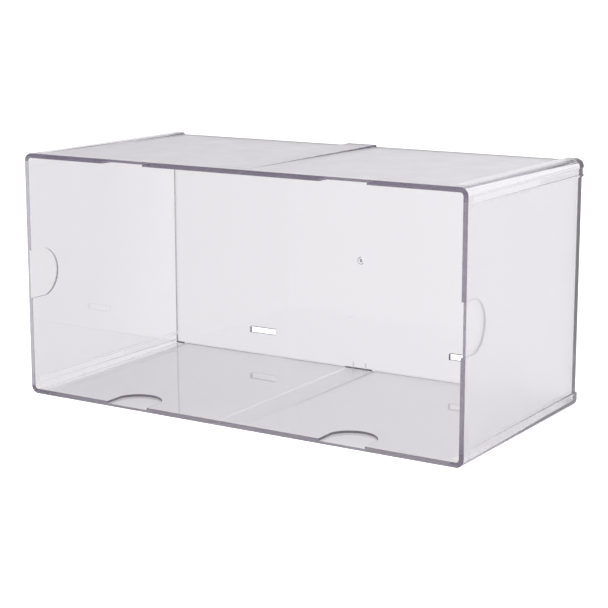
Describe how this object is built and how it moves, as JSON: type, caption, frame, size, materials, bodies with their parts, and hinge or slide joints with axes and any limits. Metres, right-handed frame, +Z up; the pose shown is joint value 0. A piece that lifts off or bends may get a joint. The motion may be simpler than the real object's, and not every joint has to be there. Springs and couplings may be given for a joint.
{
  "type": "stacking storage box",
  "caption": "Clear rectangular storage box with an open front, stacking rails along its outer edges, clip recesses behind the rim and hanging slots in the back.",
  "frame": {"origin": "on the resting plane, under the middle of the box", "axes": "+X to the right as seen from the open front, +Y from the open front towards the back panel, +Z up"},
  "size_m": [0.3048, 0.1524, 0.1524],
  "materials": {
    "clear_plastic": "clear and faintly lilac, polished inside and finely satin on the outer faces"
  },
  "bodies": {
    "root": {"wall_sleeve": "clear_plastic", "back_panel": "clear_plastic", "corner_rail_top_left": "clear_plastic", "corner_rail_top_right": "clear_plastic", "corner_rail_bottom_left": "clear_plastic", "corner_rail_bottom_right": "clear_plastic", "centre_rail_top": "clear_plastic", "centre_rail_bottom": "clear_plastic"}
  },
  "joints": []
}
